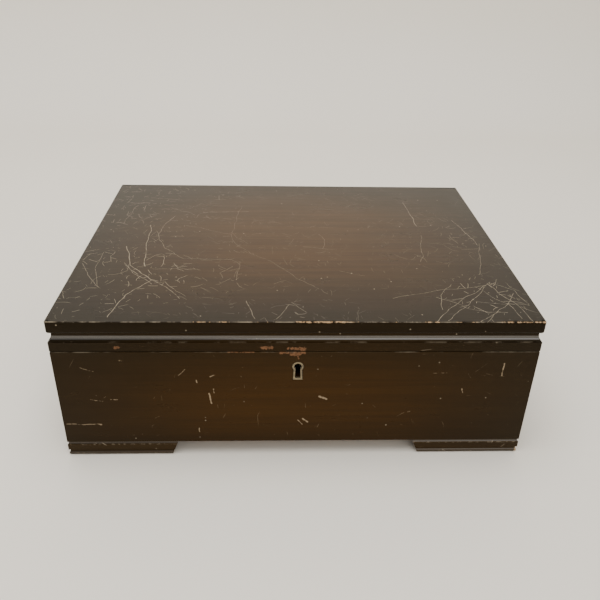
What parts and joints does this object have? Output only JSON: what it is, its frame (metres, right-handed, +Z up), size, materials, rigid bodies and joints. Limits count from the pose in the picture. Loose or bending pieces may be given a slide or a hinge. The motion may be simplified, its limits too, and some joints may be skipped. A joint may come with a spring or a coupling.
{
  "type": "disc music box",
  "caption": "Wooden table music box with a hinged lid, lock, large steel tune disc, comb, swinging pressure bar and wind-up spring motor.",
  "frame": {"origin": "on the table, under the centre of the bounding box, hinge knuckles included", "axes": "+X to the winding side, +Y to the back where the hinges are, +Z up; the keyhole faces -Y"},
  "size_m": [0.42, 0.3296, 0.1453],
  "materials": {
    "lacquered_wood": "aged gloss lacquer",
    "bare_wood": "planed, unfinished",
    "knob_wood": "turned and stained",
    "brass": "polished, lacquered",
    "aged_brass": "dull, tarnished",
    "steel": "fine ground",
    "disc_steel": "rolled sheet",
    "spring_steel": "blued",
    "gilt_iron": "bronze paint over casting",
    "nickel": "satin nickel plate"
  },
  "bodies": {
    "case": {"front_board": "lacquered_wood", "right_board": "lacquered_wood", "back_board": "lacquered_wood", "left_board": "lacquered_wood", "bottom_board": "bare_wood", "foot_front_left": "lacquered_wood", "foot_front_right": "lacquered_wood", "foot_rear_left": "lacquered_wood", "foot_rear_right": "lacquered_wood", "keyhole_escutcheon": "aged_brass", "lock_case": "steel", "hinge_left_case_leaf": "aged_brass", "hinge_right_case_leaf": "aged_brass", "stay_guide_screw": "steel", "bedplate": "gilt_iron", "bedplate_bearer_front": "bare_wood", "bedplate_bearer_rear": "bare_wood", "centre_spindle": "nickel", "star_bracket_inner": "brass", "star_bracket_outer": "brass", "comb": "steel", "comb_base": "gilt_iron", "pressure_bar_post": "nickel", "motor_plate_inner": "brass", "motor_plate_outer": "brass", "motor_pillar_front": "steel", "motor_pillar_rear": "steel", "winding_socket": "aged_brass", "winding_clutch_spring": "spring_steel", "governor_bracket": "brass", "crank_arm": "nickel"},
    "lid": {"lid_panel": "lacquered_wood", "lid_rail_front": "lacquered_wood", "lid_rail_right": "lacquered_wood", "lid_rail_back": "lacquered_wood", "lid_rail_left": "lacquered_wood", "hinge_left_lid_leaf": "aged_brass", "hinge_right_lid_leaf": "aged_brass", "stay_pivot_screw": "steel", "lock_keeper": "steel"},
    "stay": {"stay_arm": "aged_brass"},
    "bolt": {"lock_bolt": "steel"},
    "disc": {"tune_disc": "disc_steel"},
    "stars": {"star_wheels": "brass"},
    "bar": {"pressure_bar": "nickel"},
    "inner_roller": {"pressure_roller_inner": "brass"},
    "outer_roller": {"pressure_roller_outer": "brass"},
    "barrel": {"spring_barrel": "brass", "barrel_cap": "brass", "mainspring": "spring_steel"},
    "drive": {"drive_arbor": "steel", "drive_sprocket": "steel", "second_wheel": "brass"},
    "third": {"third_arbor": "steel", "worm_wheel": "brass"},
    "fly": {"fly_arbor": "steel", "fly_fan": "brass"},
    "winder": {"winding_arbor": "steel"},
    "lever": {"start_lever": "nickel"},
    "handle": {"crank_handle": "knob_wood"}
  },
  "joints": [
    {"name": "lid_hinge", "type": "hinge", "parent": "case", "child": "lid", "pos_m": [0, 0.16235, 0.1152], "axis": [-1, 0, 0], "range_deg": [0, 100]},
    {"name": "stay_turn", "type": "hinge", "parent": "lid", "child": "stay", "pos_m": [-0.197, 0.11292, 0.1227], "axis": [-1, 0, 0], "range_deg": [-50, 0]},
    {"name": "lock_bolt_slide", "type": "slide", "parent": "case", "child": "bolt", "axis": [1, 0, 0], "range_m": [0, 0.006]},
    {"name": "disc_spin", "type": "hinge", "parent": "case", "child": "disc", "pos_m": [-0.046, -0.00185, 0.0974], "axis": [0, 0, 1], "continuous": true},
    {"name": "drive_turn", "type": "hinge", "parent": "case", "child": "drive", "pos_m": [0.14, -0.00185, 0.0831], "axis": [1, 0, 0], "continuous": true},
    {"name": "barrel_turn", "type": "hinge", "parent": "case", "child": "barrel", "pos_m": [0.13, 0.03047, 0.0635], "axis": [1, 0, 0], "continuous": true},
    {"name": "third_turn", "type": "hinge", "parent": "case", "child": "third", "pos_m": [0.14, -0.01525, 0.072], "axis": [1, 0, 0], "continuous": true},
    {"name": "fly_spin", "type": "hinge", "parent": "case", "child": "fly", "pos_m": [0.132, -0.02925, 0.075], "axis": [0, 0, 1], "continuous": true},
    {"name": "star_wheels_turn", "type": "hinge", "parent": "case", "child": "stars", "pos_m": [0.02464, 0.04816, 0.0887], "axis": [0.8161, 0.5779, 0], "continuous": true},
    {"name": "pressure_bar_swing", "type": "hinge", "parent": "case", "child": "bar", "pos_m": [0.08809, 0.09309, 0.102], "axis": [0, 0, 1], "range_deg": [0, 72]},
    {"name": "inner_roller_turn", "type": "hinge", "parent": "bar", "child": "inner_roller", "pos_m": [-0.00356, 0.0282, 0.1025], "axis": [0.8161, 0.5779, 0], "continuous": true},
    {"name": "outer_roller_turn", "type": "hinge", "parent": "bar", "child": "outer_roller", "pos_m": [0.0503, 0.06634, 0.1025], "axis": [0.8161, 0.5779, 0], "continuous": true},
    {"name": "winding_turn", "type": "hinge", "parent": "case", "child": "winder", "pos_m": [0.16, 0.03047, 0.0635], "axis": [1, 0, 0], "continuous": true},
    {"name": "start_lever_turn", "type": "hinge", "parent": "case", "child": "lever", "pos_m": [0.16, -0.04185, 0.093], "axis": [0, 0, 1], "range_deg": [0, 12]},
    {"name": "crank_handle_turn", "type": "hinge", "parent": "case", "child": "handle", "pos_m": [0.18, -0.11385, 0.04], "axis": [0, 0, 1], "continuous": true}
  ],
  "couplings": [
    {"joint": "stay_turn", "follows": "lid_hinge", "ratio": -0.5},
    {"joint": "drive_turn", "follows": "disc_spin", "ratio": -10},
    {"joint": "barrel_turn", "follows": "disc_spin", "ratio": 1.6667},
    {"joint": "third_turn", "follows": "disc_spin", "ratio": 48},
    {"joint": "fly_spin", "follows": "disc_spin", "ratio": 1440}
  ]
}
